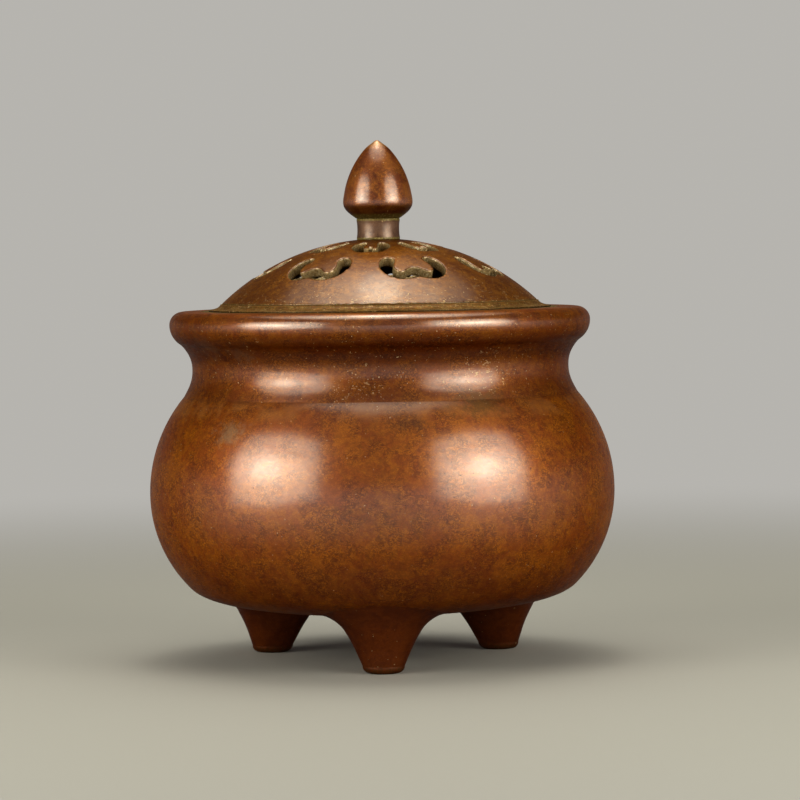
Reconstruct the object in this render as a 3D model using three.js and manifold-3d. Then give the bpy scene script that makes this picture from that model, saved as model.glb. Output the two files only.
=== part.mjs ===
// Tripod incense burner in patinated bronze: a cast bowl brazed to three trumpet feet, and a domed
// lid pierced with two rings of ruyi clouds, which lifts off by its lotus-bud finial.
// Lengths are in millimetres, angles in degrees, +Z is up. The origin is on the ground, on the axis.
// The front foot points along -Y.
import * as THREE from "three";
import { mergeVertices, toCreasedNormals } from "three/addons/utils/BufferGeometryUtils.js";
import Module from "manifold-3d";

const wasm = await Module();
wasm.setup();

// Bowl wall
const belly_radius = 55;
const belly_height = 39.8;
const belly_lower_curve = 31.5;
const belly_upper_curve = 35.3;
const knuckle_angle = 45;
const underside_height = 11.6;
const underside_handle_share = 0.55;
const knuckle_handle_share = 0.142;
const shoulder_height = 62.7;
const neck_radius = 44.5;
const neck_height = 69;
const neck_handle_shares = [0.5, 0.3, 0.44];
const wall = 3.3;
const floor_thickness = 4;

// Lip and mouth
const rim_height = 82.8;
const lip_overhang = 5.25;
const lip_round = 3.1;
const lip_under_round = 5.5;
const lip_root_drop = 7.9;
const lip_handle_shares = [0.45, 0.4, 0.7];
const ledge_depth = 3.7;
const ledge_height = 3;
const ledge_taper = 4.3;
const mouth_chamfer = 0.6;

// Feet
const foot_count = 3;
const foot_setback = 23.3;
const foot_tip_radius = 4.9;
const foot_tip_round = 1.7;
const foot_root_radius = 12.8;
const foot_root_rise = 5.6;
const foot_root_fillet = 3.5;
const foot_lean_share = 0.13;
const foot_flare_shares = [
  [0, 0],
  [0.12, 0.14],
  [0.225, 0.26],
  [0.36, 0.39],
  [0.525, 0.53],
  [0.71, 0.68],
  [0.88, 0.83],
  [1, 1],
];
const braze_gap = 0.3;

// Lid seat
const mouth_clearance = 0.4;
const spigot_depth = 5;
const spigot_wall = 2.6;
const spigot_chamfer = 0.5;
const flange_overlap = 3;
const flange_bevel = 3.1;
const flange_edge = 0.35;
const flange_height = 1.6;
const flange_step = 0.2;
const cavetto_handle_share = 0.15;

// Lid dome
const dome_rise = 15;
const dome_wall = 2.2;
const cloud_count = 7;
const lid_turn = 18.7;
const cloud_outer_reach = 25.5;
const cloud_outer_half_width = 8;
const cloud_outer_half_length = 5.45;
const cloud_outer_tongue = 4.2;
const cloud_inner_reach = 13.6;
const cloud_inner_half_width = 4.7;
const cloud_inner_half_length = 4.85;
const cloud_inner_tongue = 1.3;
const cut_overrun = 1;

// Finial and its fixing
const bud_radius = 8.2;
const bud_height = 18.5;
const bud_profile_shares = [
  [0.62, 0],
  [0.89, 0.095],
  [1, 0.19],
  [0.965, 0.335],
  [0.878, 0.486],
  [0.732, 0.643],
  [0.524, 0.795],
  [0.29, 0.915],
  [0, 1],
];
const collar_radius = 5.1;
const collar_waist = 0.2;
const collar_height = 5;
const collar_foot_height = 0.7;
const land_margin = 0.4;
const stud_radius = 1.5;
const stud_clearance = 0.3;
const stud_reach = 6.5;
const stud_chamfer = 0.3;
const stud_tail = 1.2;
const washer_radius = 3.5;
const washer_thickness = 0.6;
const nut_width = 5.5;
const nut_thickness = 2.4;

// Facets
const bowl_facets = 60;
const foot_facets = 26;
const lid_facets = 42;
const finial_facets = 26;
const stud_facets = 16;
const cloud_curve_steps = [2, 3, 3, 2, 2, 2, 2];
const crease_angle = 30;

// Sizes that follow from those above
const mouth_radius = neck_radius - wall - ledge_depth;
const foot_circle_radius = belly_radius - foot_setback;
const foot_root_height = underside_height + foot_root_rise;
const spigot_radius = mouth_radius - mouth_clearance;
const flange_radius = mouth_radius + flange_overlap;
const dome_base_radius = flange_radius - flange_bevel;
const dome_sphere = (dome_base_radius ** 2 + dome_rise ** 2) / (2 * dome_rise);
const dome_centre = flange_height + dome_rise - dome_sphere;
const collar_land_radius = collar_radius + land_margin;
const collar_seat = dome_centre + Math.sqrt(dome_sphere ** 2 - collar_land_radius ** 2);
const nut_seat = dome_centre + dome_sphere - dome_wall;
const bore_radius = stud_radius + stud_clearance;

const radians = THREE.MathUtils.degToRad;

// One control point, given in millimetres.
function at(x, y) {
  return new THREE.Vector2(x, y);
}

// The point a share of the way from one point to another, with its own share in each direction.
function between(from, to, shareAcross, shareUp) {
  return at(from.x + (to.x - from.x) * shareAcross, from.y + (to.y - from.y) * shareUp);
}

// The points along a chain of curves, each shared end once.
function trace(curves, steps) {
  const points = [curves[0].getPoint(0)];
  curves.forEach((curve, i) => points.push(...curve.getPoints(steps[i]).slice(1)));
  return points;
}

// A circular arc between two angles in radians. It runs anticlockwise where the angle grows.
function arc(centre, radius, from, to) {
  return new THREE.EllipseCurve(centre.x, centre.y, radius, radius, from, to, to < from);
}

// A body turned about +Z from a profile of radii and heights.
function turned(points, facets) {
  return new THREE.LatheGeometry(points, facets).rotateX(Math.PI / 2);
}

// A closed geometry as a solid for cutting.
function solidOf(geometry) {
  const bare = geometry.index ? geometry.toNonIndexed() : geometry.clone();
  bare.deleteAttribute("normal");
  bare.deleteAttribute("uv");
  const merged = mergeVertices(bare);
  const corners = merged.index.array;
  const kept = [];
  for (let i = 0; i < corners.length; i += 3) {
    const [a, b, c] = corners.slice(i, i + 3);
    if (a !== b && b !== c && c !== a) kept.push(a, b, c);
  }
  const mesh = new wasm.Mesh({
    numProp: 3,
    vertProperties: merged.attributes.position.array,
    triVerts: new Uint32Array(kept),
  });
  return new wasm.Manifold(mesh);
}

// A cut solid as a geometry.
function geometryOf(solid) {
  const mesh = solid.getMesh();
  const geometry = new THREE.BufferGeometry();
  geometry.setAttribute("position", new THREE.BufferAttribute(mesh.vertProperties, 3));
  geometry.setIndex(new THREE.BufferAttribute(mesh.triVerts, 1));
  return geometry;
}

// A named piece with its own material.
function piece(name, geometry, colour, roughness) {
  const material = new THREE.MeshStandardMaterial({ color: colour, roughness, metalness: 1 });
  const mesh = new THREE.Mesh(toCreasedNormals(geometry, radians(crease_angle)), material);
  mesh.name = name;
  return mesh;
}

// The curves of the bowl's wall from the axis up to the neck, moved inwards by the inset.
function wallCurves(inset, bottom) {
  const knuckle = radians(knuckle_angle);
  const shoulder = Math.asin((shoulder_height - belly_height) / belly_upper_curve);
  const lowerCentre = at(belly_radius - belly_lower_curve, belly_height);
  const upperCentre = at(belly_radius - belly_upper_curve, belly_height);
  const lower = arc(lowerCentre, belly_lower_curve - inset, -knuckle, 0);
  const upper = arc(upperCentre, belly_upper_curve - inset, 0, shoulder);
  const turn = lower.getPoint(0);
  const lead = lower.getTangent(0).multiplyScalar(-knuckle_handle_share * turn.x);
  const underside = new THREE.CubicBezierCurve(
    at(0, bottom),
    at(underside_handle_share * turn.x, bottom),
    turn.clone().add(lead),
    turn,
  );
  const crease = upper.getPoint(1);
  const neck = at(neck_radius - inset, neck_height);
  const [across, up, below] = neck_handle_shares;
  const shoulderCurve = new THREE.CubicBezierCurve(
    crease,
    between(crease, neck, across, up),
    between(neck, crease, 0, below),
    neck,
  );
  return [underside, lower, upper, shoulderCurve];
}

// The curves from the neck over the rolled lip to the flat rim.
function lipCurves() {
  const neck = at(neck_radius, neck_height);
  const reach = neck_radius + lip_overhang;
  const widest = rim_height - lip_round;
  const undercut = Math.asin((lip_root_drop - lip_round) / lip_under_round);
  const under = arc(at(reach - lip_under_round, widest), lip_under_round, -undercut, 0);
  const over = arc(at(reach - lip_round, widest), lip_round, 0, Math.PI / 2);
  const root = under.getPoint(0);
  const [above, across, up] = lip_handle_shares;
  const flare = new THREE.CubicBezierCurve(
    neck,
    between(neck, root, 0, above),
    between(neck, root, across, up),
    root,
  );
  return [flare, under, over];
}

// The cast bowl: outer wall, lip, seat ledge for the lid and hollow inside.
function bowlGeometry() {
  const throat = neck_radius - wall;
  const ledge = rim_height - ledge_height;
  const outside = trace([...wallCurves(0, underside_height), ...lipCurves()], [3, 6, 4, 3, 3, 3, 4]);
  const inside = trace(wallCurves(wall, underside_height + floor_thickness), [3, 4, 3, 2]);
  const mouth = [
    at(mouth_radius + mouth_chamfer, rim_height),
    at(mouth_radius, rim_height - mouth_chamfer),
    at(mouth_radius, ledge),
    at(throat, ledge - ledge_taper),
  ];
  return turned([...outside, ...mouth, ...inside.reverse()], bowl_facets);
}

// The space that the bowl takes below its neck, grown by the braze gap.
function bowlEnvelope() {
  const outline = trace(wallCurves(-braze_gap, underside_height - braze_gap), [3, 6, 4, 3]);
  return solidOf(turned([...outline, at(0, neck_height)], bowl_facets));
}

// How far a point lies outside the bowl's wall, and the direction square to the wall there.
function wallClearance(point, outline) {
  const across = Math.hypot(point.x, point.y);
  const flat = at(across, point.z);
  let nearest = null;
  for (let i = 1; i < outline.length; i++) {
    const run = outline[i].clone().sub(outline[i - 1]);
    const along = flat.clone().sub(outline[i - 1]).dot(run) / run.lengthSq();
    const foot = outline[i - 1].clone().addScaledVector(run, THREE.MathUtils.clamp(along, 0, 1));
    const square = at(run.y, -run.x).normalize();
    const distance = flat.distanceTo(foot);
    if (nearest && distance >= nearest.distance) continue;
    nearest = { distance, clearance: flat.clone().sub(foot).dot(square), square };
  }
  const { clearance, square } = nearest;
  const spoke = new THREE.Vector2(point.x, point.y).divideScalar(across);
  const normal = new THREE.Vector3(square.x * spoke.x, square.x * spoke.y, square.y);
  return { clearance, normal };
}

// Spreads the front foot's root along the bowl's wall in a concave fillet.
function spreadRoot(trumpet) {
  const outline = trace(wallCurves(0, underside_height), [8, 12, 8, 3]);
  const places = trumpet.attributes.position;
  const point = new THREE.Vector3();
  for (let i = 0; i < places.count; i++) {
    point.fromBufferAttribute(places, i);
    const { clearance, normal } = wallClearance(point, outline);
    const out = new THREE.Vector3(point.x, point.y, 0);
    out.y += foot_circle_radius - foot_lean_share * point.z;
    if (Math.abs(clearance) >= foot_root_fillet || out.length() < foot_tip_round) continue;
    out.projectOnPlane(normal).normalize();
    const depth = foot_root_fillet - Math.abs(clearance);
    const hollow = foot_root_fillet - Math.sqrt(foot_root_fillet ** 2 - depth ** 2);
    point.addScaledVector(out, clearance > 0 ? hollow : depth);
    places.setXYZ(i, point.x, point.y, point.z);
  }
}

// The front foot: a leaning trumpet with a rounded toe, its root spread and cut to the bowl.
function footGeometry() {
  const flare = new THREE.SplineCurve(
    foot_flare_shares.map(([out, up]) =>
      at(
        foot_tip_radius + out * (foot_root_radius - foot_tip_radius),
        foot_tip_round + up * (foot_root_height - foot_tip_round),
      ),
    ),
  );
  const toeCentre = at(foot_tip_radius - foot_tip_round, foot_tip_round);
  const toe = arc(toeCentre, foot_tip_round, -Math.PI / 2, 0);
  const outline = trace([toe, flare], [3, 14]);
  const top = [at(foot_root_radius, belly_height), at(0, belly_height)];
  const trumpet = turned([at(0, 0), ...outline, ...top], foot_facets);
  trumpet.applyMatrix4(new THREE.Matrix4().makeShear(0, 0, 0, 0, 0, foot_lean_share));
  trumpet.translate(0, -foot_circle_radius, 0);
  spreadRoot(trumpet);
  return geometryOf(solidOf(trumpet).subtract(bowlEnvelope()));
}

// The lid's seat ring: a hollow-bevelled flange on the rim, and a spigot inside the mouth.
function seatRingGeometry() {
  const inner = spigot_radius - spigot_wall;
  const edge = at(flange_radius, flange_edge);
  const top = at(dome_base_radius + flange_step, flange_height);
  const cavetto = new THREE.QuadraticBezierCurve(
    edge,
    between(edge, top, 1 - cavetto_handle_share, cavetto_handle_share),
    top,
  );
  const profile = [
    at(inner, -spigot_depth),
    at(spigot_radius - spigot_chamfer, -spigot_depth),
    at(spigot_radius, spigot_chamfer - spigot_depth),
    at(spigot_radius, 0),
    at(flange_radius, 0),
    ...cavetto.getPoints(4),
    at(inner, flange_height),
    at(inner, -spigot_depth),
  ];
  return turned(profile, lid_facets);
}

// The unpierced dome: a spherical shell with a flat land on each side of the stud's hole.
function domeShell() {
  const centre = at(0, dome_centre);
  const innerSphere = dome_sphere - dome_wall;
  const washerLand = washer_radius + land_margin;
  const outside = arc(
    centre,
    dome_sphere,
    Math.acos(dome_base_radius / dome_sphere),
    Math.acos(collar_land_radius / dome_sphere),
  );
  const inside = arc(
    centre,
    innerSphere,
    Math.acos(washerLand / innerSphere),
    Math.asin((flange_height - dome_centre) / innerSphere),
  );
  const profile = [
    ...outside.getPoints(5),
    at(bore_radius, collar_seat),
    at(bore_radius, nut_seat),
    at(washerLand, nut_seat),
    ...inside.getPoints(3),
    outside.getPoint(0),
  ];
  return turned(profile, lid_facets);
}

// One ruyi cloud: two curled arms round a tongue with a scalloped end, and a cusped outer edge.
// Each row holds three points of a curve, as shares of the tongue, of the arm and of the length.
const cloud_cusp_share = 0.85;
const cloud_half_shares = [
  [[0.1, 0, 0.96], [0.35, 0.14, 1], [0.6, 0.23, 1]],
  [[1, 0.47, 1], [1, 1, 0.5], [1, 1, -0.05]],
  [[1, 1, -0.5], [1, 0.6, -1], [1, 0.17, -1]],
  [[0.93, 0, -1], [0.77, 0, -0.88], [0.78, 0, -0.66]],
  [[0.8, 0, -0.42], [1.06, 0, -0.26], [1.06, 0, 0.04]],
  [[1.06, 0, 0.3], [0.9, 0, 0.38], [0.72, 0, 0.34]],
  [[0.52, 0, 0.3], [0.34, 0, 0.02], [0, 0, 0.02]],
];

function cloudShape(halfWidth, halfLength, tongue) {
  const arm = halfWidth - tongue;
  let from = at(0, cloud_cusp_share * halfLength);
  const curves = cloud_half_shares.map((row) => {
    const [first, second, end] = row.map(([ofTongue, ofArm, ofLength]) =>
      at(ofTongue * tongue + ofArm * arm, ofLength * halfLength),
    );
    const curve = new THREE.CubicBezierCurve(from, first, second, end);
    from = end;
    return curve;
  });
  const half = trace(curves, cloud_curve_steps);
  const mirrored = half.slice(1, -1).reverse();
  return new THREE.Shape([...half, ...mirrored.map((point) => at(-point.x, point.y))]);
}

// A cutter for one cloud, driven square through the dome at its reach from the axis.
function cloudCutter(reach, halfWidth, halfLength, tongue, turn) {
  const slope = Math.asin(reach / dome_sphere);
  const normal = new THREE.Vector3(0, -Math.sin(slope), Math.cos(slope));
  const downhill = new THREE.Vector3(0, -Math.cos(slope), -Math.sin(slope));
  const across = new THREE.Vector3(1, 0, 0);
  const sag = dome_sphere - Math.sqrt(dome_sphere ** 2 - halfWidth ** 2 - halfLength ** 2);
  const depth = dome_wall + sag + 2 * cut_overrun;
  const start = normal.clone().multiplyScalar(dome_sphere + cut_overrun);
  start.z += dome_centre;
  const place = new THREE.Matrix4().makeBasis(across, downhill, normal.negate());
  place.setPosition(start);
  place.premultiply(new THREE.Matrix4().makeRotationZ(radians(turn)));
  const shape = cloudShape(halfWidth, halfLength, tongue);
  const options = { depth, bevelEnabled: false };
  return solidOf(new THREE.ExtrudeGeometry(shape, options).applyMatrix4(place));
}

// The pierced dome: an outer ring of clouds, and an inner ring set half a pitch round.
function domeGeometry() {
  const pitch = 360 / cloud_count;
  let dome = solidOf(domeShell());
  for (let i = 0; i < cloud_count; i++) {
    const outer = cloudCutter(
      cloud_outer_reach,
      cloud_outer_half_width,
      cloud_outer_half_length,
      cloud_outer_tongue,
      i * pitch,
    );
    const inner = cloudCutter(
      cloud_inner_reach,
      cloud_inner_half_width,
      cloud_inner_half_length,
      cloud_inner_tongue,
      (i - 1 / 2) * pitch,
    );
    dome = dome.subtract(outer).subtract(inner);
  }
  return geometryOf(dome);
}

// The lotus bud, with a blind hole for the stud.
function budGeometry() {
  const hole = stud_reach + stud_clearance;
  const outside = new THREE.SplineCurve(
    bud_profile_shares.map(([out, up]) => at(out * bud_radius, up * bud_height)),
  );
  const profile = [
    at(0, hole),
    at(bore_radius, hole),
    at(bore_radius, 0),
    ...outside.getPoints(11),
  ];
  return turned(profile, finial_facets);
}

// The short waisted collar between the dome and the bud.
function collarGeometry() {
  const waist = collar_radius - collar_waist;
  const profile = [
    at(bore_radius, 0),
    at(collar_radius, 0),
    at(collar_radius, collar_foot_height),
    at(waist, collar_height / 2),
    at(collar_radius, collar_height - collar_foot_height),
    at(collar_radius, collar_height),
    at(bore_radius, collar_height),
    at(bore_radius, 0),
  ];
  return turned(profile, finial_facets);
}

// The stud that draws the bud down on the collar and the dome.
function studGeometry(bottom, top) {
  const profile = [
    at(0, bottom),
    at(stud_radius - stud_chamfer, bottom),
    at(stud_radius, bottom + stud_chamfer),
    at(stud_radius, top - stud_chamfer),
    at(stud_radius - stud_chamfer, top),
    at(0, top),
  ];
  return turned(profile, stud_facets);
}

// A plate with a hole for the stud, standing on its own underside.
function boredPlate(outline, thickness) {
  const hole = new THREE.Path().absarc(0, 0, bore_radius, 0, 2 * Math.PI, true);
  outline.holes.push(hole);
  const options = { depth: thickness, bevelEnabled: false, curveSegments: stud_facets / 2 };
  return new THREE.ExtrudeGeometry(outline, options);
}

function washerGeometry() {
  const outline = new THREE.Shape().absarc(0, 0, washer_radius, 0, 2 * Math.PI, false);
  return boredPlate(outline, washer_thickness);
}

function nutGeometry() {
  const corner = nut_width / Math.sqrt(3);
  const corners = [0, 1, 2, 3, 4, 5].map((i) => {
    const angle = (i * Math.PI) / 3;
    return at(corner * Math.cos(angle), corner * Math.sin(angle));
  });
  return boredPlate(new THREE.Shape(corners), nut_thickness);
}

// Assembly of the bowl and its feet
const burner = new THREE.Group();
burner.add(piece("bowl", bowlGeometry(), 0x7d3f18, 0.42));
const foot_names = ["foot_front", "foot_right", "foot_left"];
const foot = footGeometry();
for (let i = 0; i < foot_count; i++) {
  const mesh = piece(foot_names[i], foot, 0x6b3212, 0.45);
  mesh.rotation.z = radians((i * 360) / foot_count);
  burner.add(mesh);
}

// Assembly of the lid, about the centre of the rim
const lid = new THREE.Group();
lid.position.z = rim_height;
lid.rotation.z = radians(lid_turn);
lid.add(piece("lid_seat_ring", seatRingGeometry(), 0x5c4a22, 0.6));
lid.add(piece("lid_dome", domeGeometry(), 0x7d3f18, 0.42));
const washer_base = nut_seat - washer_thickness;
const nut_base = washer_base - nut_thickness;
const collar_top = collar_seat + collar_height;
const stud = studGeometry(nut_base - stud_tail, collar_top + stud_reach);
lid.add(piece("finial_stud", stud, 0x8a6a3a, 0.5));
const collar = piece("finial_collar", collarGeometry(), 0x6e4a20, 0.5);
collar.position.z = collar_seat;
const bud = piece("finial_bud", budGeometry(), 0x7d3f18, 0.4);
bud.position.z = collar_top;
const washer = piece("finial_washer", washerGeometry(), 0x8a6a3a, 0.5);
washer.position.z = washer_base;
const nut = piece("finial_nut", nutGeometry(), 0x8a6a3a, 0.5);
nut.position.z = nut_base;
lid.add(collar, bud, washer, nut);

const model = new THREE.Group();
model.add(burner, lid);
export default model;
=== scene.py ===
# The looks of a tripod incense burner in patinated bronze. Blender 4.5, metres, +Z up, front foot
# towards -Y. Profiles are written in millimetres, as radius and height, and turned about the axis.
import math

import bpy
from mathutils import Matrix, Vector


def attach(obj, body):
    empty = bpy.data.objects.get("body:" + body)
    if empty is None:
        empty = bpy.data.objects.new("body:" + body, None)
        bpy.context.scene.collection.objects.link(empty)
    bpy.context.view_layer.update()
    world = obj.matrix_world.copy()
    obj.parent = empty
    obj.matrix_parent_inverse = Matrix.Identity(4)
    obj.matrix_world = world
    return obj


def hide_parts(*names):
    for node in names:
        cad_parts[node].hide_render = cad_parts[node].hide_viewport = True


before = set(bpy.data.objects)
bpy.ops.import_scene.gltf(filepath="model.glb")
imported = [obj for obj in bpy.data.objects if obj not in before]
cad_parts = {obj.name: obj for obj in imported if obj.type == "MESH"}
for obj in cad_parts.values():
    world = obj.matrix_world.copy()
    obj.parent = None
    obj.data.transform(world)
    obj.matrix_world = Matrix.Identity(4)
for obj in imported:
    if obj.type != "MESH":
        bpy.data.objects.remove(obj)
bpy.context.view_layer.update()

MM = 0.001
WELD = 2e-6

# Bowl wall and lip, in millimetres and degrees
BELLY_RADIUS = 55
BELLY_HEIGHT = 39.8
BELLY_LOWER_CURVE = 31.5
BELLY_UPPER_CURVE = 35.3
KNUCKLE_ANGLE = 45
UNDERSIDE_HEIGHT = 11.6
UNDERSIDE_FLAT = 0.55
UNDERSIDE_LEAD = 0.142
SHOULDER_HEIGHT = 62.7
NECK_RADIUS = 44.5
NECK_HEIGHT = 69
WALL = 3.3
FLOOR_THICKNESS = 4
RIM_HEIGHT = 82.8
LIP_OVERHANG = 5.25
LIP_ROUND = 3.1
LIP_UNDER_ROUND = 5.5
LIP_ROOT_DROP = 7.9
MOUTH_RADIUS = 37.5
MOUTH_ROUND = 0.6
SEAT_WIDTH = 3.2
LEDGE_HEIGHT = 3
LEDGE_TAPER = 4.3

# Feet
FOOT_CIRCLE = 31.7
FOOT_TIP = 4.9
FOOT_TIP_ROUND = 1.7
FOOT_ROOT = 12.8
FOOT_ROOT_HEIGHT = 17.2
FOOT_ROOT_FILLET = 3.5
FOOT_BURIED = 0.7
FOOT_LEAN = 0.13
FINEST_EDGE = 0.06
FOOT_FLARE = [
    (0, 0), (0.12, 0.14), (0.225, 0.26), (0.36, 0.39), (0.525, 0.53), (0.71, 0.68),
    (0.88, 0.83), (1, 1),
]

# Lid, heights above the rim
LID_TURN = 18.7
SPIGOT_RADIUS = 37.1
SPIGOT_WALL = 2.6
SPIGOT_DEPTH = 5
FLANGE_RADIUS = 40.5
FLANGE_HEIGHT = 1.6
FLANGE_EDGE = 0.35
SMALL_ROUND = 0.5
CHAMFER = 0.12
DOME_BASE = 37.4
DOME_RISE = 15
DOME_WALL = 2.2
DOME_SPHERE = (DOME_BASE ** 2 + DOME_RISE ** 2) / (2 * DOME_RISE)
DOME_CENTRE = FLANGE_HEIGHT + DOME_RISE - DOME_SPHERE
WASHER_LAND = 3.9
COLLAR_RADIUS = 5.1
COLLAR_HEIGHT = 5
COLLAR_WAIST = 4.9
COLLAR_LAND = COLLAR_RADIUS + 0.4
COLLAR_SEAT = DOME_CENTRE + math.sqrt(DOME_SPHERE ** 2 - COLLAR_LAND ** 2)
BUD_RADIUS = 8.2
BUD_HEIGHT = 18.5
BUD_PROFILE = [
    (0.62, 0), (0.89, 0.095), (1, 0.19), (0.965, 0.335), (0.878, 0.486),
    (0.732, 0.643), (0.524, 0.795), (0.29, 0.915), (0, 1),
]
BUD_BORE_DEPTH = 6.8
BORE = 1.8

# Clouds, each as reach from the axis, half width, half length and the half width of its tongue
CLOUD_COUNT = 7
OUTER_CLOUD = (25.5, 8, 5.45, 4.2)
INNER_CLOUD = (13.6, 4.7, 4.85, 1.3)
CUTTER_ABOVE = 1
CUTTER_BELOW = 3.2
CLOUD_TRIM = 0.25
INNER_FACE_DROP = 0.25
WEAR_VOXEL = 0.39
WEAR_PASSES = 5
FACE_DEPTH = 0.09


def at(x, y):
    """A point of an outline."""
    return Vector((x, y))


def arc(centre, radius, start, end, steps):
    """Points along an arc between two angles in radians."""
    turn = [start + (end - start) * i / steps for i in range(steps + 1)]
    return [centre + radius * at(math.cos(a), math.sin(a)) for a in turn]


def sweep(a, b, c, d, steps):
    """Points along a cubic curve with two handles."""
    points = []
    for i in range(steps + 1):
        t = i / steps
        s = 1 - t
        points.append(s ** 3 * a + 3 * s * s * t * b + 3 * s * t * t * c + t ** 3 * d)
    return points


def between(a, b, across, up):
    """A point that lies the given shares of the way from a to b."""
    return at(a.x + (b.x - a.x) * across, a.y + (b.y - a.y) * up)


def smooth_through(points, steps):
    """Points along a smooth curve through all the given ones."""
    count = (len(points) - 1) * steps
    out = []
    for i in range(count + 1):
        place = i / steps
        k = min(int(place), len(points) - 2)
        t = place - k
        p1, p2 = points[k], points[k + 1]
        p0 = points[k - 1] if k else p1
        p3 = points[k + 2] if k + 2 < len(points) else p2
        v0, v1 = (p2 - p0) / 2, (p3 - p1) / 2
        out.append(
            (2 * p1 - 2 * p2 + v0 + v1) * t ** 3
            + (-3 * p1 + 3 * p2 - 2 * v0 - v1) * t * t
            + v0 * t + p1
        )
    return out


def chain(*runs):
    """One line through several runs of points, each shared end once."""
    line = []
    for run in runs:
        for point in run:
            if not line or (point - line[-1]).length > 1e-4:
                line.append(point)
    return line


# ---------------- modelling

def start_fresh():
    """Object mode, with nothing selected."""
    if bpy.context.object and bpy.context.object.mode != "OBJECT":
        bpy.ops.object.mode_set(mode="OBJECT")
    bpy.ops.object.select_all(action="DESELECT")


def make_active(piece):
    start_fresh()
    piece.select_set(True)
    bpy.context.view_layer.objects.active = piece


def first_point(name, place):
    """A new piece that is one vertex, in edit mode, with its origin at the world's."""
    start_fresh()
    bpy.ops.mesh.primitive_plane_add(size=MM, location=place)
    piece = bpy.context.object
    piece.name = name
    piece.data.name = name
    bpy.ops.object.transform_apply(location=True, rotation=True, scale=True)
    bpy.ops.object.mode_set(mode="EDIT")
    bpy.ops.mesh.select_all(action="SELECT")
    bpy.ops.mesh.merge(type="CENTER")
    return piece


def trace_line(name, places):
    """A new piece whose vertices follow the places, joined one to the next."""
    piece = first_point(name, places[0])
    for here, there in zip(places, places[1:]):
        step = there - here
        bpy.ops.mesh.extrude_vertices_move(TRANSFORM_OT_translate={"value": step})
    bpy.ops.mesh.select_all(action="SELECT")
    return piece


def turn_piece(name, outline, steps):
    """A body turned about +Z from an outline of radii and heights in millimetres."""
    places = [Vector((p.x, 0, p.y)) * MM for p in outline]
    piece = trace_line(name, places)
    bpy.ops.mesh.spin(steps=steps, angle=2 * math.pi, center=(0, 0, 0), axis=(0, 0, 1))
    bpy.ops.mesh.select_all(action="SELECT")
    bpy.ops.mesh.remove_doubles(threshold=WELD)
    bpy.ops.mesh.normals_make_consistent(inside=False)
    bpy.ops.object.mode_set(mode="OBJECT")
    return piece


def smooth_shade(piece, angle):
    make_active(piece)
    bpy.ops.object.shade_smooth_by_angle(angle=math.radians(angle))


def apply_all(piece):
    """Applies the piece's modifiers in turn."""
    make_active(piece)
    for modifier in list(piece.modifiers):
        bpy.ops.object.modifier_apply(modifier=modifier.name)


def cut_away(piece, cutter):
    """Cuts the cutter's space out of the piece and deletes the cutter."""
    cut = piece.modifiers.new("cut", "BOOLEAN")
    cut.operation = "DIFFERENCE"
    cut.solver = "EXACT"
    cut.object = cutter
    apply_all(piece)
    bpy.data.objects.remove(cutter)


def turned_copy(piece, name, degrees):
    """A copy with its own mesh, turned about the burner's axis."""
    make_active(piece)
    bpy.ops.object.duplicate()
    copy = bpy.context.object
    copy.name = name
    copy.data.name = name
    copy.rotation_euler.z = math.radians(degrees)
    bpy.ops.object.transform_apply(location=True, rotation=True, scale=True)
    return copy


# ---------------- the pieces

def wall_line(inset, bottom, fine):
    """The bowl's wall from the axis up to the neck, moved inwards by the inset."""
    knuckle = math.radians(KNUCKLE_ANGLE)
    shoulder = math.asin((SHOULDER_HEIGHT - BELLY_HEIGHT) / BELLY_UPPER_CURVE)
    lower_centre = at(BELLY_RADIUS - BELLY_LOWER_CURVE, BELLY_HEIGHT)
    upper_centre = at(BELLY_RADIUS - BELLY_UPPER_CURVE, BELLY_HEIGHT)
    lower = arc(lower_centre, BELLY_LOWER_CURVE - inset, -knuckle, 0, 16 * fine)
    upper = arc(upper_centre, BELLY_UPPER_CURVE - inset, 0, shoulder, 12 * fine)
    turn = lower[0]
    slope = at(math.cos(math.pi / 2 - knuckle), math.sin(math.pi / 2 - knuckle))
    lead = turn - slope * UNDERSIDE_LEAD * turn.x
    flat = at(UNDERSIDE_FLAT * turn.x, bottom)
    underside = sweep(at(0, bottom), flat, lead, turn, 12 * fine)
    crease = upper[-1]
    neck = at(NECK_RADIUS - inset, NECK_HEIGHT)
    rise = sweep(
        crease, between(crease, neck, 0.5, 0.3), between(neck, crease, 0, 0.44), neck, 10 * fine
    )
    return underside, lower, upper, rise


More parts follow.
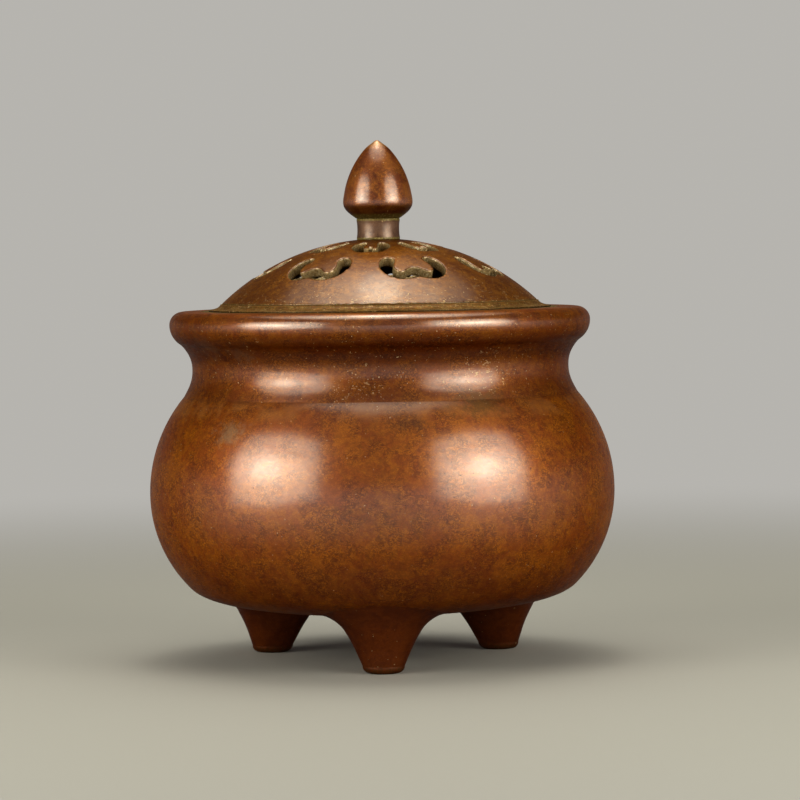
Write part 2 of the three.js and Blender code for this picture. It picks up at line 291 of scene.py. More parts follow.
def make_bowl():
    """The cast vessel in one outline: wall, crease, neck, rolled lip, lid seat and inside."""
    underside, lower, upper, rise = wall_line(0, UNDERSIDE_HEIGHT, 2)
    crease = upper[-1]
    softened = sweep(
        crease + (upper[-2] - crease) * 0.5, crease, crease,
        crease + (rise[1] - crease) * 0.5, 4,
    )
    reach, widest = NECK_RADIUS + LIP_OVERHANG, RIM_HEIGHT - LIP_ROUND
    undercut = math.asin((LIP_ROOT_DROP - LIP_ROUND) / LIP_UNDER_ROUND)
    under = arc(at(reach - LIP_UNDER_ROUND, widest), LIP_UNDER_ROUND, -undercut, 0, 18)
    over = arc(at(reach - LIP_ROUND, widest), LIP_ROUND, 0, math.pi / 2, 18)
    neck, root = rise[-1], under[0]
    flare = sweep(
        neck, between(neck, root, 0, 0.45), between(neck, root, 0.4, 0.7), root, 16
    )
    before, after = flare[-3], under[2]
    lip_foot = sweep(
        before, before + (root - before) * 0.7, after + (root - after) * 0.7, after, 8
    )
    throat = NECK_RADIUS - WALL
    ledge = RIM_HEIGHT - LEDGE_HEIGHT
    mouth = chain(
        [at(MOUTH_RADIUS + SEAT_WIDTH, RIM_HEIGHT), at(MOUTH_RADIUS + MOUTH_ROUND, RIM_HEIGHT)],
        arc(
            at(MOUTH_RADIUS + MOUTH_ROUND, RIM_HEIGHT - MOUTH_ROUND), MOUTH_ROUND,
            math.pi / 2, math.pi, 4,
        ),
        [at(MOUTH_RADIUS, ledge + 0.2), at(MOUTH_RADIUS + 0.1, ledge - 0.2)],
        [at(throat - 0.2, ledge - LEDGE_TAPER + 0.3), at(throat, ledge - LEDGE_TAPER)],
    )
    inside = chain(*wall_line(WALL, UNDERSIDE_HEIGHT + FLOOR_THICKNESS, 1))
    outline = chain(
        underside, lower, upper[:-1], softened, rise[1:], flare[:-3], lip_foot, under[3:],
        over, mouth, inside[::-1],
    )
    bowl = turn_piece("cast_bowl", outline, 200)
    smooth_shade(bowl, 38)
    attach(bowl, "burner")
    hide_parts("bowl")
    return bowl


def wall_clearance(place, outline):
    """How far a place lies outside the bowl's wall, and the direction square to the wall there."""
    flat = at(math.hypot(place.x, place.y), place.z)
    best = None
    for here, there in zip(outline, outline[1:]):
        run = there - here
        along = min(max((flat - here).dot(run) / run.length_squared, 0), 1)
        near = here + run * along
        away = (flat - near).length
        if best is None or away < best[0]:
            square = at(run.y, -run.x).normalized()
            best = (away, (flat - near).dot(square), square)
    square = best[2]
    spoke = at(place.x, place.y) / flat.x
    return best[1], Vector((square.x * spoke.x, square.x * spoke.y, square.y))


def spread_root(foot):
    """Spreads the front foot's root along the bowl's wall in a concave fillet."""
    underside, lower, upper, rise = wall_line(0, UNDERSIDE_HEIGHT, 2)
    outline = chain(underside, lower)
    fillet = FOOT_ROOT_FILLET
    for vertex in foot.data.vertices:
        place = vertex.co / MM
        if place.z < UNDERSIDE_HEIGHT - fillet - 1:
            continue
        clearance, normal = wall_clearance(place, outline)
        out = Vector((place.x, place.y + FOOT_CIRCLE - FOOT_LEAN * place.z, 0))
        if abs(clearance) >= fillet or out.length < FOOT_TIP_ROUND:
            continue
        out = (out - normal * out.dot(normal)).normalized()
        depth = fillet - abs(clearance)
        hollow = fillet - math.sqrt(fillet ** 2 - depth ** 2)
        moved = place + out * (hollow if clearance > 0 else depth)
        lift, facing = wall_clearance(moved, outline)
        vertex.co = (moved + facing * (clearance - lift)) * MM


def make_feet():
    """The front foot, drawn up ring by ring along its lean, and its two turned copies."""
    flare = smooth_through(
        [at(FOOT_TIP + out * (FOOT_ROOT - FOOT_TIP),
            FOOT_TIP_ROUND + up * (FOOT_ROOT_HEIGHT - FOOT_TIP_ROUND)) for out, up in FOOT_FLARE],
        14,
    )
    toe = arc(at(FOOT_TIP - FOOT_TIP_ROUND, FOOT_TIP_ROUND), FOOT_TIP_ROUND, -math.pi / 2, 0, 9)
    above = [at(FOOT_ROOT, FOOT_ROOT_HEIGHT + height / 4) for height in range(1, 20)]
    line = chain(toe, flare, above)
    start_fresh()
    bpy.ops.mesh.primitive_circle_add(
        vertices=112, radius=line[0].x * MM, fill_type="NGON",
        location=(0, -FOOT_CIRCLE * MM, 0),
    )
    foot = bpy.context.object
    foot.name = "trumpet_foot_front"
    foot.data.name = "trumpet_foot_front"
    bpy.ops.object.transform_apply(location=True, rotation=True, scale=True)
    bpy.ops.object.mode_set(mode="EDIT")
    bpy.ops.mesh.select_all(action="SELECT")
    for here, there in zip(line, line[1:]):
        rise = (there.y - here.y) * MM
        grow = there.x / here.x
        centre = (0, (-FOOT_CIRCLE + FOOT_LEAN * there.y) * MM, there.y * MM)
        bpy.ops.mesh.extrude_region_move(
            TRANSFORM_OT_translate={"value": (0, FOOT_LEAN * rise, rise)}
        )
        bpy.ops.transform.resize(value=(grow, grow, 1), center_override=centre)
    bpy.ops.mesh.select_all(action="SELECT")
    bpy.ops.mesh.normals_make_consistent(inside=False)
    bpy.ops.object.mode_set(mode="OBJECT")
    spread_root(foot)
    inner = chain(
        *wall_line(FOOT_BURIED, UNDERSIDE_HEIGHT + FOOT_BURIED, 2), [at(0, NECK_HEIGHT)]
    )
    cut_away(foot, turn_piece("wall_cutter", inner, 200))
    bpy.ops.object.mode_set(mode="EDIT")
    bpy.ops.mesh.select_all(action="SELECT")
    bpy.ops.mesh.remove_doubles(threshold=FINEST_EDGE * MM)
    bpy.ops.mesh.dissolve_degenerate(threshold=0.01 * MM)
    bpy.ops.object.mode_set(mode="OBJECT")
    smooth_shade(foot, 40)
    names = {
        "trumpet_foot_front": "foot_front", "trumpet_foot_right": "foot_right",
        "trumpet_foot_left": "foot_left",
    }
    feet = [foot]
    for name, turn in (("trumpet_foot_right", 120), ("trumpet_foot_left", -120)):
        feet.append(turned_copy(foot, name, turn))
    for piece in feet:
        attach(piece, "burner")
        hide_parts(names[piece.name])
    return feet


def raised(points):
    """Lid outlines are drawn from the rim, so they go up by its height."""
    return [p + at(0, RIM_HEIGHT) for p in points]


def make_seat_ring():
    """The lid's flange with its hollow bevel, and the spigot under it."""
    inner = SPIGOT_RADIUS - SPIGOT_WALL
    edge = at(FLANGE_RADIUS, FLANGE_EDGE)
    top = at(DOME_BASE + 0.2, FLANGE_HEIGHT)
    handle = between(edge, top, 0.85, 0.15)
    cavetto = sweep(
        edge, edge + (handle - edge) * 0.67, top + (handle - top) * 0.67, top, 14
    )
    outline = chain(
        [at(inner, -SPIGOT_DEPTH), at(SPIGOT_RADIUS - SMALL_ROUND, -SPIGOT_DEPTH)],
        arc(
            at(SPIGOT_RADIUS - SMALL_ROUND, SMALL_ROUND - SPIGOT_DEPTH), SMALL_ROUND,
            -math.pi / 2, 0, 4,
        ),
        [at(SPIGOT_RADIUS, 0), at(FLANGE_RADIUS - CHAMFER, 0), at(FLANGE_RADIUS, CHAMFER)],
        cavetto,
        [at(inner, FLANGE_HEIGHT), at(inner, -SPIGOT_DEPTH)],
    )
    ring = turn_piece("lid_seat", raised(outline), 180)
    smooth_shade(ring, 35)
    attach(ring, "lid")
    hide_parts("lid_seat_ring")
    return ring


# One half of a cloud from its cusp to its tongue, as curves of two handles and an end; each of the
# three is a share of the tongue and of the arm across, and of the half length along
CLOUD_CUSP = 0.85
CLOUD_HALF = [
    ((0.1, 0, 0.96), (0.35, 0.14, 1), (0.6, 0.23, 1)),
    ((1, 0.47, 1), (1, 1, 0.5), (1, 1, -0.05)),
    ((1, 1, -0.5), (1, 0.6, -1), (1, 0.17, -1)),
    ((0.93, 0, -1), (0.77, 0, -0.88), (0.78, 0, -0.66)),
    ((0.8, 0, -0.42), (1.06, 0, -0.26), (1.06, 0, 0.04)),
    ((1.06, 0, 0.3), (0.9, 0, 0.38), (0.72, 0, 0.34)),
    ((0.52, 0, 0.3), (0.34, 0, 0.02), (0, 0, 0.02)),
]


def cloud_outline(half_width, half_length, tongue):
    """A ruyi cloud: curled arms round a scalloped tongue, and a cusp on its outer edge."""
    arm = half_width - tongue
    start = at(0, CLOUD_CUSP * half_length)
    half = [start]
    for row in CLOUD_HALF:
        a, b, c = (at(t * tongue + s * arm, u * half_length) for t, s, u in row)
        half += sweep(half[-1], a, b, c, 6)[1:]
    mirrored = [at(-p.x, p.y) for p in half[1:-1]]
    return half + mirrored[::-1]


def drawn_in(outline, amount):
    """The outline moved inwards all round, as wear then opens it again in part."""
    drawn = []
    for i, point in enumerate(outline):
        along = (outline[(i + 1) % len(outline)] - outline[i - 1]).normalized()
        drawn.append(point + at(along.y, -along.x) * amount)
    return drawn


def cloud_cutter(name, cloud, degrees):
    """A closed block in the cloud's outline, standing square through the dome."""
    reach, half_width, half_length, tongue = cloud
    slope = math.asin(reach / DOME_SPHERE)
    normal = Vector((0, -math.sin(slope), math.cos(slope)))
    downhill = Vector((0, -math.cos(slope), -math.sin(slope)))
    across = Vector((1, 0, 0))
    centre = Vector((0, 0, DOME_CENTRE + RIM_HEIGHT))
    face = centre + normal * (DOME_SPHERE + CUTTER_ABOVE)
    turn = Matrix.Rotation(math.radians(degrees), 3, "Z")
    outline = [
        turn @ (face + across * p.x + downhill * p.y) * MM
        for p in drawn_in(cloud_outline(half_width, half_length, tongue), CLOUD_TRIM)
    ]
    block = trace_line(name, outline)
    bpy.ops.mesh.select_all(action="SELECT")
    bpy.ops.mesh.edge_face_add()
    depth = turn @ normal * -(DOME_WALL + CUTTER_BELOW) * MM
    bpy.ops.mesh.extrude_region_move(TRANSFORM_OT_translate={"value": depth})
    bpy.ops.mesh.select_all(action="SELECT")
    bpy.ops.mesh.remove_doubles(threshold=1e-6)
    bpy.ops.mesh.normals_make_consistent(inside=False)
    bpy.ops.object.mode_set(mode="OBJECT")
    return block


def make_dome():
    """The spherical shell, with lands for collar and washer, cut by two rings of clouds."""
    centre = at(0, DOME_CENTRE)
    inner_sphere = DOME_SPHERE - DOME_WALL - INNER_FACE_DROP
    nut_seat = DOME_CENTRE + DOME_SPHERE - DOME_WALL
    outside = arc(
        centre, DOME_SPHERE, math.acos(DOME_BASE / DOME_SPHERE),
        math.acos(COLLAR_LAND / DOME_SPHERE), 40,
    )
    inside = arc(
        centre, inner_sphere, math.acos(WASHER_LAND / inner_sphere),
        math.asin((FLANGE_HEIGHT - DOME_CENTRE) / inner_sphere), 30,
    )
    outline = chain(
        outside, [at(BORE, COLLAR_SEAT), at(BORE, nut_seat), at(WASHER_LAND, nut_seat)],
        inside, [outside[0]],
    )
    dome = turn_piece("pierced_dome", raised(outline), 168)
    pitch = 360 / CLOUD_COUNT
    outer = cloud_cutter("outer_cloud", OUTER_CLOUD, LID_TURN)
    inner = cloud_cutter("inner_cloud", INNER_CLOUD, LID_TURN - pitch / 2)
    cutters = [outer, inner]
    for i in range(1, CLOUD_COUNT):
        cutters.append(turned_copy(outer, "outer_cloud", i * pitch))
        cutters.append(turned_copy(inner, "inner_cloud", i * pitch))
    start_fresh()
    for cutter in cutters:
        cutter.select_set(True)
    bpy.context.view_layer.objects.active = outer
    bpy.ops.object.join()
    cut_away(dome, outer)
    wear_edges(dome)
    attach(dome, "lid")
    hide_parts("lid_dome")
    return dome


def wear_edges(dome):
    """Rounds the sawn edges of the clouds as wear does, and keeps the dome's face true."""
    sphere_line = arc(
        at(0, DOME_CENTRE), DOME_SPHERE, math.acos((DOME_BASE + 1) / DOME_SPHERE),
        math.pi / 2, 60,
    )
    true_face = turn_piece("true_face", raised(sphere_line), 240)
    make_active(dome)
    dome.data.remesh_voxel_size = WEAR_VOXEL * MM
    dome.data.remesh_voxel_adaptivity = 0
    bpy.ops.object.voxel_remesh()
    soften = dome.modifiers.new("soften", "SMOOTH")
    soften.factor = 0.5
    soften.iterations = WEAR_PASSES
    apply_all(dome)
    centre = Vector((0, 0, DOME_CENTRE + RIM_HEIGHT)) * MM
    group = dome.vertex_groups.new(name="outer_face")
    near = [
        v.index for v in dome.data.vertices
        if abs((v.co - centre).length - DOME_SPHERE * MM) < FACE_DEPTH * MM
    ]
    group.add(near, 1, "REPLACE")
    settle = dome.modifiers.new("settle", "SHRINKWRAP")
    settle.target = true_face
    settle.wrap_method = "NEAREST_SURFACEPOINT"
    settle.vertex_group = "outer_face"
    apply_all(dome)
    bpy.data.objects.remove(true_face)
    make_active(dome)
    bpy.ops.object.shade_smooth()


def make_collar():
    """The short collar under the bud, waisted and bored for the stud."""
    narrow, lip = COLLAR_RADIUS - CHAMFER, COLLAR_HEIGHT - CHAMFER
    profile = chain(
        [at(BORE, 0), at(narrow, 0), at(COLLAR_RADIUS, CHAMFER)],
        sweep(
            at(COLLAR_RADIUS, 0.6), at(COLLAR_WAIST, 1.3), at(COLLAR_WAIST, COLLAR_HEIGHT - 1.3),
            at(COLLAR_RADIUS, COLLAR_HEIGHT - 0.6), 14,
        ),
        [at(COLLAR_RADIUS, lip), at(narrow, COLLAR_HEIGHT), at(BORE, COLLAR_HEIGHT), at(BORE, 0)],
    )
    profile = [p + at(0, COLLAR_SEAT) for p in profile]
    collar = turn_piece("waisted_collar", raised(profile), 96)
    smooth_shade(collar, 35)
    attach(collar, "lid")
    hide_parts("finial_collar")
    return collar


def make_bud():
    """The lotus bud, with a rounded point and a blind bore for the stud."""
    outside = smooth_through([at(r * BUD_RADIUS, h * BUD_HEIGHT) for r, h in BUD_PROFILE], 8)
    top = BUD_HEIGHT - 0.02
    point = sweep(outside[-7], outside[-5], at(0.55, top), at(0, top), 8)
    bore = [at(0, BUD_BORE_DEPTH), at(BORE, BUD_BORE_DEPTH), at(BORE, 0)]
    profile = chain(bore, [at(outside[0].x - 0.15, 0)], outside[1:-6], point)
    profile = [p + at(0, COLLAR_SEAT + COLLAR_HEIGHT) for p in profile]
    bud = turn_piece("lotus_bud", raised(profile), 128)
    smooth_shade(bud, 40)
    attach(bud, "lid")
    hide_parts("finial_bud")
    return bud


# ---------------- finishes

def tone(red, green, blue):
    """A colour as seen on a screen, 0 to 255, as the shader's own numbers."""
    values = []
    for level in (red, green, blue):
        share = level / 255
        values.append(share / 12.92 if share <= 0.04045 else ((share + 0.055) / 1.055) ** 2.4)
    return (*values, 1)


def add(tree, kind, inputs=None, **settings):
    """A new node, its sockets filled with numbers or joined to other nodes' outputs."""
    made = tree.nodes.new(kind)
    made.location = (190 * (len(tree.nodes) % 12), -230 * (len(tree.nodes) // 12))
    for key, value in settings.items():
        setattr(made, key, value)
    for key, value in (inputs or {}).items():
        if isinstance(value, bpy.types.NodeSocket):
            tree.links.new(value, made.inputs[key])
        else:
            made.inputs[key].default_value = value
    return made


def maths(tree, kind, *inputs):
    """What a maths node gives."""
    return add(tree, "ShaderNodeMath", dict(enumerate(inputs)), operation=kind).outputs[0]


def vectors(tree, kind, *inputs, output="Vector"):
    """What a vector maths node gives."""
    made = add(tree, "ShaderNodeVectorMath", dict(enumerate(inputs)), operation=kind)
    return made.outputs[output]


def fade(tree, value, start, end, low=0.0, high=1.0):
    """The value mapped smoothly from start..end to low..high."""
    inputs = {"Value": value, "From Min": start, "From Max": end, "To Min": low, "To Max": high}
    made = add(tree, "ShaderNodeMapRange", inputs, interpolation_type="SMOOTHSTEP")
    return made.outputs["Result"]


def times(tree, first, second):
    """The product of two values."""
    return maths(tree, "MULTIPLY", first, second)


def away_from(tree, value, middle):
    """How far a value is from the middle, up or down."""
    return maths(tree, "ABSOLUTE", maths(tree, "SUBTRACT", value, middle))


def band(tree, value, middle, half, soft):
    """A mask of 1 within half of the middle, fading out over soft."""
    return fade(tree, away_from(tree, value, middle), half, half + soft, 1, 0)


def larger(tree, *masks):
    """The largest of several masks."""
    result = masks[0]
    for mask in masks[1:]:
        result = maths(tree, "MAXIMUM", result, mask)
    return result


def blend_of(tree, amount, first, second, kind="MIX"):
    """One colour blended over another."""
    inputs = {0: amount, 6: first, 7: second}
    return add(tree, "ShaderNodeMix", inputs, data_type="RGBA", blend_type=kind).outputs[2]


def new_group(name, inputs, outputs):
    """An empty shader group with named sockets, its input node and its output node."""
    tree = bpy.data.node_groups.new(name, "ShaderNodeTree")
    for label, kind, value in inputs:
        socket = tree.interface.new_socket(label, in_out="INPUT", socket_type=kind)
        if value is not None:
            socket.default_value = value
    for label, kind in outputs:
        tree.interface.new_socket(label, in_out="OUTPUT", socket_type=kind)
    return tree, tree.nodes.new("NodeGroupInput"), tree.nodes.new("NodeGroupOutput")


VECTOR, FLOAT = "NodeSocketVector", "NodeSocketFloat"


def noise(tree, place, scale, detail=2.0, roughness=0.5, distortion=0.0):
    """Soft noise about 0.5, its scale per millimetre."""
    inputs = {
        "Vector": place, "Scale": scale, "Detail": detail, "Roughness": roughness,
        "Distortion": distortion,
    }
    return add(tree, "ShaderNodeTexNoise", inputs).outputs["Fac"]


def stretched(tree, place, across, up):
    """A place squeezed more one way than another, so that a pattern on it runs along the other."""
    return vectors(tree, "MULTIPLY", place, (across, across, up))


def scattered(tree, place, scale):
    """Points scattered in space: how far the nearest is, and two random numbers that it has."""
    cells = add(tree, "ShaderNodeTexVoronoi", {"Vector": place, "Scale": scale}, feature="F1")
    drawn = add(tree, "ShaderNodeSeparateColor", {"Color": cells.outputs["Color"]})
    return cells.outputs["Distance"], drawn.outputs[0], drawn.outputs[1]


def mottle_group():
    """Soft clouds of colour, fine dark threads and speckle of an old patina, in millimetres."""
    tree, given, result = new_group(
        "bronze_mottle",
        [("Place", VECTOR, None), ("Patch", FLOAT, 0.1), ("Thread Amount", FLOAT, 0.6),
         ("Speckle Amount", FLOAT, 0.5)],
        [("Patches", FLOAT), ("Threads", FLOAT), ("Speckle", FLOAT)],
    )
    place = given.outputs["Place"]
    broad = noise(tree, place, given.outputs["Patch"], 3.0, 0.55, 0.3)
    middle = noise(tree, place, 0.5, 2.5, 0.6, 0.8)
    mixed = maths(tree, "MULTIPLY_ADD", broad, 0.5, times(tree, middle, 0.5))
    tree.links.new(fade(tree, mixed, 0.38, 0.62), result.inputs["Patches"])
    lie = stretched(tree, place, 1.0, 1.4)
    lines = []
    for scale, width in ((0.55, 0.06), (1.1, 0.1)):
        wander = noise(tree, lie, scale, 1.5, 0.5, 1.3)
        lines.append(fade(tree, away_from(tree, wander, 0.5), 0.01, width, 1, 0))
    threads = larger(tree, *lines)
    gather = fade(tree, noise(tree, place, 0.2, 3.0, 0.6), 0.4, 0.6, 0.5, 1)
    threads = times(tree, times(tree, threads, gather), given.outputs["Thread Amount"])
    tree.links.new(threads, result.inputs["Threads"])
    grain = fade(tree, noise(tree, place, 1.5, 2.0, 0.6, 0.5), 0.5, 0.68)
    tree.links.new(times(tree, grain, given.outputs["Speckle Amount"]), result.inputs["Speckle"])
    return tree


def dust_group():
    """Tiny pale specks and hairs of ash and lime, thicker where a mask asks for them."""
    tree, given, result = new_group(
        "ash_dust",
        [("Place", VECTOR, None), ("Where", FLOAT, 0.0)],
        [("Dust", FLOAT)],
    )
    place, where = given.outputs["Place"], given.outputs["Where"]
    astray = add(
        tree, "ShaderNodeTexNoise", {"Vector": place, "Scale": 2.6, "Detail": 1.0}
    ).outputs["Color"]
    ragged = vectors(tree, "MULTIPLY_ADD", astray, (0.7, 0.7, 0.7), place)
    marks = []
    for scale, radius, common in ((0.42, 0.05, 0.45), (1.05, 0.2, 0.6), (2.2, 0.32, 0.85)):
        away, rank, growth = scattered(tree, ragged, scale)
        level = maths(tree, "MULTIPLY_ADD", where, common, rank)
        kept = fade(tree, level, 0.975, 0.995)
        size = maths(tree, "MULTIPLY_ADD", growth, radius, radius * 0.35)
        close = maths(tree, "DIVIDE", away, size)
        marks.append(times(tree, kept, fade(tree, close, 0.55, 1.0, 1, 0)))
    wander = noise(tree, stretched(tree, place, 0.4, 1.6), 0.25, 3.0, 0.5, 0.8)
    hair = fade(tree, away_from(tree, wander, 0.5), 0.006, 0.018, 0.7, 0)
    hair = times(tree, hair, fade(tree, where, 0.04, 0.3))
    hair = times(tree, hair, fade(tree, noise(tree, place, 0.6, 2.0, 0.6), 0.52, 0.6))
    found = larger(tree, *marks, hair)
    faint = fade(tree, noise(tree, place, 0.8, 1.0, 0.5), 0.35, 0.65, 0.3, 1)
    tree.links.new(times(tree, found, faint), result.inputs["Dust"])
    return tree


def skin_group():
    """The worked and waxed skin: a height for bump, a mask of pits, and streaks of rubbing."""
    tree, given, result = new_group(
        "cast_skin",
        [("Place", VECTOR, None), ("Pit Amount", FLOAT, 0.5)],
        [("Height", FLOAT), ("Pits", FLOAT), ("Rubbing", FLOAT)],
    )
    place = given.outputs["Place"]
    grain = noise(tree, stretched(tree, place, 1.0, 2.2), 1.9, 3.0, 0.62)
    swell = noise(tree, place, 0.12, 1.0, 0.4)
    away, _, rank = scattered(tree, place, 0.9)
    pits = times(tree, fade(tree, rank, 0.72, 0.78), fade(tree, away, 0.06, 0.17, 1, 0))
    pits = times(tree, pits, given.outputs["Pit Amount"])
    tree.links.new(pits, result.inputs["Pits"])
    height = maths(tree, "MULTIPLY_ADD", grain, 0.026, times(tree, swell, 0.12))
    height = maths(tree, "MULTIPLY_ADD", pits, -0.05, height)
    tree.links.new(height, result.inputs["Height"])
    rub = noise(tree, stretched(tree, place, 0.5, 2.5), 0.9, 4.0, 0.7, 0.5)
    tree.links.new(fade(tree, rub, 0.3, 0.7), result.inputs["Rubbing"])
    return tree


def grime_group():
    """Verdigris and dust that gather where a mask allows, broken up by noise."""
    tree, given, result = new_group(
        "verdigris_grime",
        [("Place", VECTOR, None), ("Where", FLOAT, 0.0), ("Grain", FLOAT, 1.6)],
        [("Grime", FLOAT), ("Fleck", FLOAT)],
    )
    place = given.outputs["Place"]
    broken = noise(tree, place, given.outputs["Grain"], 4.0, 0.7, 0.3)
    lifted = maths(tree, "MULTIPLY_ADD", given.outputs["Where"], 0.75, broken)
    grime = fade(tree, lifted, 0.62, 1.12)
    tree.links.new(grime, result.inputs["Grime"])
    fleck = fade(tree, noise(tree, place, 2.4, 3.0, 0.65), 0.52, 0.64)
    tree.links.new(times(tree, fleck, grime), result.inputs["Fleck"])
    return tree


def spot_group():
    """A soft mask about a point, wider than it is high, its outline broken by noise."""
    tree, given, result = new_group(
        "soft_spot",
        [("Place", VECTOR, None), ("Centre", VECTOR, None), ("Radius", FLOAT, 3.0),
         ("Flatness", FLOAT, 1.6)],
        [("Mask", FLOAT)],
    )
    apart = vectors(tree, "SUBTRACT", given.outputs["Place"], given.outputs["Centre"])
    parts = add(tree, "ShaderNodeSeparateXYZ", {"Vector": apart})
    tall = times(tree, parts.outputs["Z"], given.outputs["Flatness"])
    shaped = add(
        tree, "ShaderNodeCombineXYZ",
        {"X": parts.outputs["X"], "Y": parts.outputs["Y"], "Z": tall},
    ).outputs["Vector"]
    apart = vectors(tree, "LENGTH", shaped, output="Value")
    ragged = noise(tree, given.outputs["Place"], 0.45, 4.0, 0.66, 0.6)
    share = maths(tree, "DIVIDE", apart, given.outputs["Radius"])
    share = maths(tree, "MULTIPLY_ADD", ragged, -3.0, maths(tree, "ADD", share, 1.5))
    tree.links.new(fade(tree, share, 0.0, 1.2, 1, 0), result.inputs["Mask"])
    return tree


GROUPS = {}


def effect(tree, name, **inputs):
    """Places a shared group in a material, its inputs named with _ for a space."""
    named = {key.replace("_", " "): value for key, value in inputs.items()}
    return add(tree, "ShaderNodeGroup", named, node_tree=GROUPS[name])


def fresh_material(name):
    """A new material with its nodes and its one shader."""
    material = bpy.data.materials.new(name)
    material.use_nodes = True
    tree = material.node_tree
    shader = tree.nodes["Principled BSDF"]
    shader.location = (2400, 300)
    tree.nodes["Material Output"].location = (2700, 300)
    return material, tree, shader


def place_in_mm(tree):
    """Object coordinates in millimetres, and the height and distance from the axis they give."""
    given = add(tree, "ShaderNodeTexCoord")
    place = vectors(tree, "MULTIPLY", given.outputs["Object"], (1000.0, 1000.0, 1000.0))
    height = add(tree, "ShaderNodeSeparateXYZ", {"Vector": place}).outputs["Z"]
    level = vectors(tree, "MULTIPLY", place, (1.0, 1.0, 0.0))
    return place, height, vectors(tree, "LENGTH", level, output="Value")


DARK_THREAD = tone(80, 32, 5)
DEEP_PIT = tone(38, 16, 8)
PALE_DUST = tone(208, 172, 124)
METAL_EDGE = tone(150, 176, 190)
WAX_IOR = 3.0


class Patina:
    """A waxed brown patina in the making: its nodes, and the colour laid down so far."""

    def __init__(self, name, red, golden, patch=0.1, threads=0.85, metallic=0.75, rough=0.47,
                 coat=0.42, gloss=0.2, edge=(0.2, 0.75, 0.18)):
        self.material, self.tree, self.shader = fresh_material(name)
        tree, shader = self.tree, self.shader
        self.place, self.height, self.reach = place_in_mm(tree)
        self.dust_where = 0.0
        self.edge = edge
        mottle = effect(tree, "bronze_mottle", Place=self.place, Patch=patch,
                        Thread_Amount=threads, Speckle_Amount=0.4)
        skin = effect(tree, "cast_skin", Place=self.place, Pit_Amount=0.7)
        colour = blend_of(tree, mottle.outputs["Patches"], red, golden)
        marks = larger(tree, mottle.outputs["Threads"], mottle.outputs["Speckle"])
        colour = blend_of(tree, times(tree, marks, 0.85), colour, DARK_THREAD)
        self.colour = blend_of(tree, skin.outputs["Pits"], colour, DEEP_PIT)
        self.roughness = fade(
            tree, skin.outputs["Rubbing"], 0, 1, rough - 0.04, rough + 0.06
        )
        worn = maths(tree, "MULTIPLY_ADD", marks, -0.22, 0.88)
        worn = maths(tree, "MULTIPLY_ADD", skin.outputs["Rubbing"], 0.24, worn)
        self.coat = times(
            tree, maths(tree, "MULTIPLY_ADD", skin.outputs["Pits"], -0.6, worn), coat
        )
        shader.inputs["Metallic"].default_value = metallic
        shader.inputs["Specular Tint"].default_value = METAL_EDGE
        shader.inputs["Specular IOR Level"].default_value = 0.1
        shader.inputs["Coat Roughness"].default_value = gloss
        shader.inputs["Coat IOR"].default_value = WAX_IOR
        bump = add(
            tree, "ShaderNodeBump",
            {"Height": skin.outputs["Height"], "Strength": 1.0, "Distance": MM},
        )
        tree.links.new(bump.outputs["Normal"], shader.inputs["Normal"])

    def lay(self, mask, hue, amount=1.0):
        """Lays a colour over the patina where the mask says."""
        if amount != 1.0:
            mask = times(self.tree, mask, amount)
        self.colour = blend_of(self.tree, mask, self.colour, hue)

    def paint_shade(self, mask, hue):
        """Multiplies the patina by a colour where the mask says, to paint shade."""
        self.colour = blend_of(self.tree, mask, self.colour, hue, "MULTIPLY")

    def shine(self, mask, amount):
        """Adds gloss where the mask says, or takes it away with an amount below 0."""
        kept = maths(self.tree, "MULTIPLY_ADD", mask, amount, 1.0)
        self.coat = times(self.tree, self.coat, kept)

    def spot(self, centre, radius, flatness):
        """A ragged mask about a point, in millimetres."""
        made = effect(self.tree, "soft_spot", Place=self.place, Centre=centre, Radius=radius,
                      Flatness=flatness)
        return made.outputs["Mask"]

    def grime(self, where, hue, fleck=None):
        """Lays dull grime where the mask says, with paler flecks in it."""
        made = effect(self.tree, "verdigris_grime", Place=self.place, Where=where)
        self.lay(made.outputs["Grime"], hue)
        if fleck is not None:
            self.lay(made.outputs["Fleck"], fleck)
        self.shine(made.outputs["Grime"], -0.75)
        self.roughness = maths(
            self.tree, "MULTIPLY_ADD", made.outputs["Grime"], 0.2, self.roughness
        )

    def finish(self):
        """Adds the dust, thins the wax towards the edges and underneath, and joins the shader."""
        dust = effect(
            self.tree, "ash_dust", Place=self.place, Where=self.dust_where
        ).outputs["Dust"]
        self.lay(dust, PALE_DUST)
        self.shine(dust, -0.6)
        facing = add(self.tree, "ShaderNodeLayerWeight", {"Blend": 0.5}).outputs["Facing"]
        start, end, least = self.edge
        self.coat = times(self.tree, self.coat, fade(self.tree, facing, start, end, 1, least))
        square = add(self.tree, "ShaderNodeNewGeometry").outputs["Normal"]
        slope = add(self.tree, "ShaderNodeSeparateXYZ", {"Vector": square}).outputs["Z"]
        self.coat = times(self.tree, self.coat, fade(self.tree, slope, -0.38, 0.0, 0.15, 1))
        self.tree.links.new(self.colour, self.shader.inputs["Base Color"])
        self.tree.links.new(self.roughness, self.shader.inputs["Roughness"])
        self.tree.links.new(self.coat, self.shader.inputs["Coat Weight"])
        return self.material


# Masks in the materials below are given in millimetres of height, or of reach from the axis.

